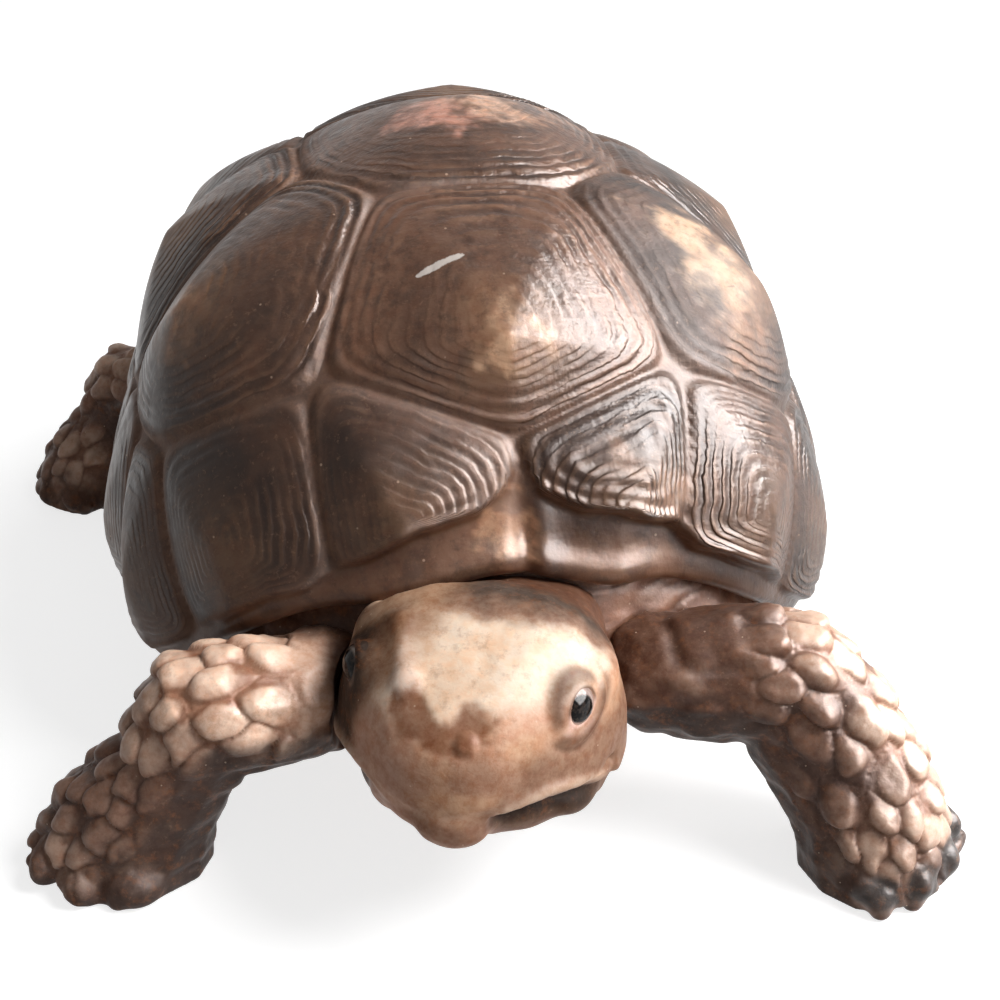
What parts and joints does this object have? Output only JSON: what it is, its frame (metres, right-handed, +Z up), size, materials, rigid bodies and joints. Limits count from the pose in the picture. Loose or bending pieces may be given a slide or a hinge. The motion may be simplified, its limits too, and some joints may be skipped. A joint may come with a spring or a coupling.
{
  "type": "tortoise figurine",
  "caption": "Moulded plastic tortoise figurine in a walking pose, with a domed carapace of ringed scutes, scaly legs and a turned head; a free-standing ornament or toy.",
  "frame": {"origin": "on the floor under the middle of the whole figure", "axes": "+Z up, -Y towards the head, +X towards the animal's left side"},
  "size_m": [0.1212, 0.1314, 0.0693],
  "materials": {
    "shell": "painted in washes of dark and mid brown with tan peaks, satin",
    "skin": "plain brown moulding, satin",
    "leg": "brown wash in the hollows, beige on the scales, satin",
    "head": "beige with brown crown, jaw and nostrils, satin",
    "eye": "glossy black"
  },
  "bodies": {
    "root": {"carapace": "shell", "underbody": "skin", "head": "head", "left_eye": "eye", "right_eye": "eye", "right_front_leg": "leg", "left_front_leg": "leg", "right_rear_leg": "leg", "left_rear_leg": "leg", "tail": "leg"}
  },
  "joints": []
}
